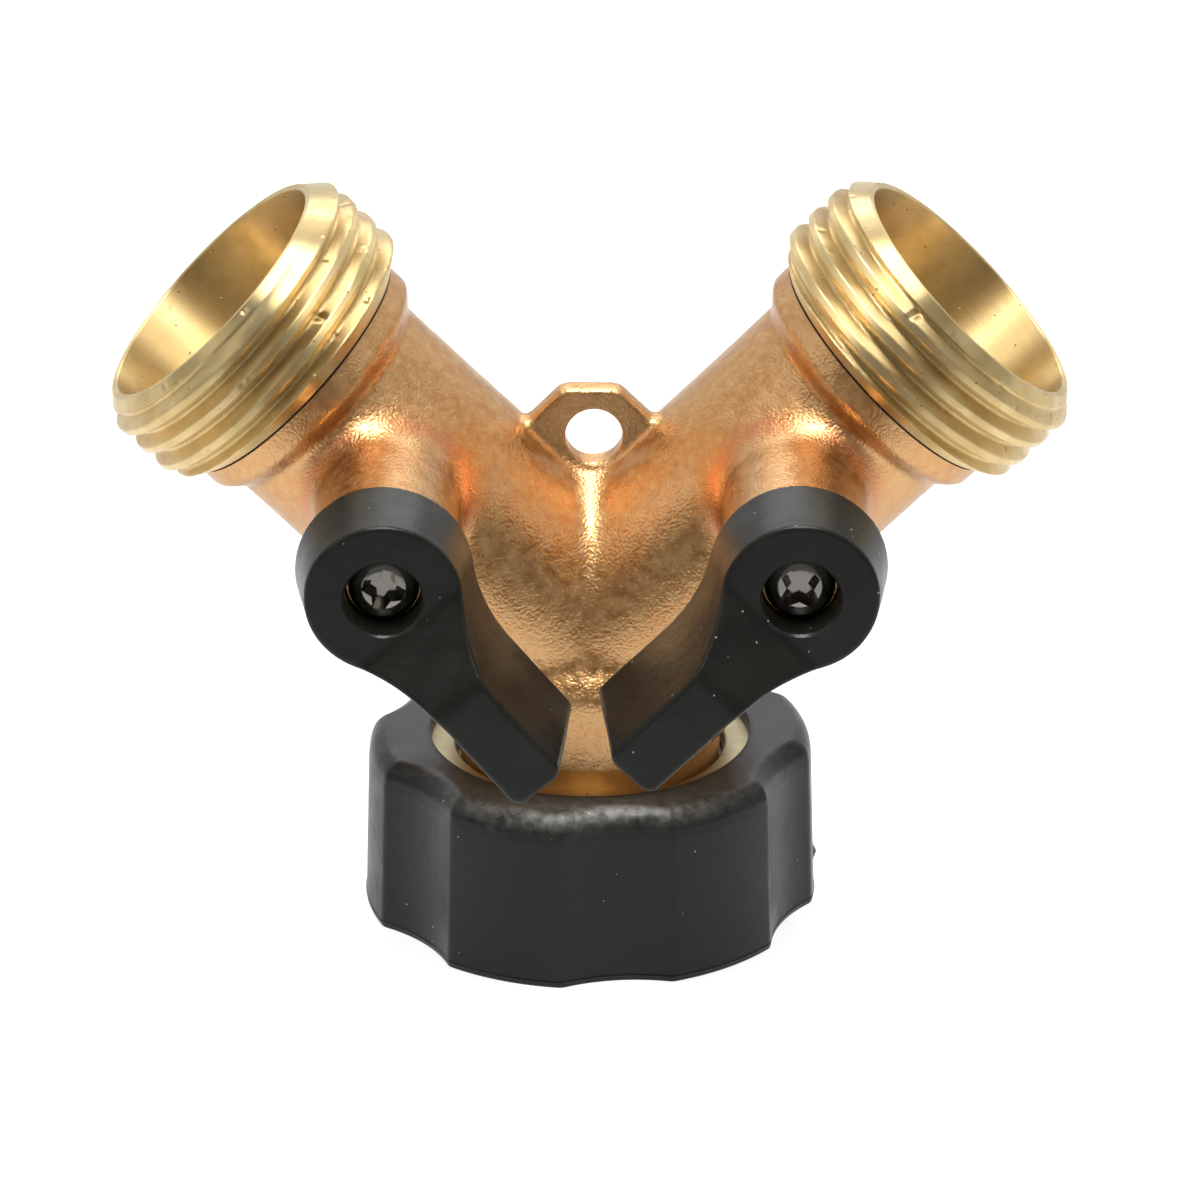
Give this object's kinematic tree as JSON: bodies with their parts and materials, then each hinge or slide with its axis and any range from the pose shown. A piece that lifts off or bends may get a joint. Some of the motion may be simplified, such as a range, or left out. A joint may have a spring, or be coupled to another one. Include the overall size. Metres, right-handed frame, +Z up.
{
  "type": "hose splitter",
  "caption": "Y-shaped garden hose splitter: a swivel inlet nut feeds two angled threaded outlets, each shut off by a quarter-turn ball valve with a lever.",
  "frame": {"origin": "centre of the inlet's mouth, on the swivel nut's lower face", "axes": "+Z up along the inlet's axis, +X towards the outlet on the right seen from the levers' side, -Y towards the levers"},
  "size_m": [0.0792, 0.0528, 0.0633],
  "materials": {
    "cast_bronze": "satin sand casting",
    "machined_brass": "turned, fine tool lines",
    "black_plastic": "moulded, semi-matte",
    "steel": "nickel plated",
    "plated_ball": "polished plating",
    "rubber": "matte",
    "seat_plastic": "smooth, waxy"
  },
  "bodies": {
    "manifold": {"casting": "cast_bronze", "neck_snap_ring": "steel", "outlet_left": "machined_brass", "outlet_seal_left": "rubber", "inner_seat_left": "seat_plastic", "outer_seat_left": "seat_plastic", "gland_left": "machined_brass", "outlet_right": "machined_brass", "outlet_seal_right": "rubber", "inner_seat_right": "seat_plastic", "outer_seat_right": "seat_plastic", "gland_right": "machined_brass"},
    "left_valve": {"ball_left": "plated_ball", "stem_left": "machined_brass", "stem_seals_left": "rubber", "thrust_washer_left": "seat_plastic", "lever_left": "black_plastic", "lever_washer_left": "machined_brass", "lever_screw_left": "steel"},
    "right_valve": {"ball_right": "plated_ball", "stem_right": "machined_brass", "stem_seals_right": "rubber", "thrust_washer_right": "seat_plastic", "lever_right": "black_plastic", "lever_washer_right": "machined_brass", "lever_screw_right": "steel"},
    "swivel_nut": {"nut_insert": "machined_brass", "nut_grip": "black_plastic", "hose_washer": "rubber"}
  },
  "joints": [
    {"name": "left_lever_turn", "type": "hinge", "parent": "manifold", "child": "left_valve", "pos_m": [-0.01671, 0, 0.04041], "axis": [0, 1, 0], "range_deg": [-5, 85]},
    {"name": "right_lever_turn", "type": "hinge", "parent": "manifold", "child": "right_valve", "pos_m": [0.01671, 0, 0.04041], "axis": [0, -1, 0], "range_deg": [0, 90]},
    {"name": "nut_swivel", "type": "hinge", "parent": "manifold", "child": "swivel_nut", "pos_m": [0, 0, 0.008], "axis": [0, 0, 1], "continuous": true}
  ]
}
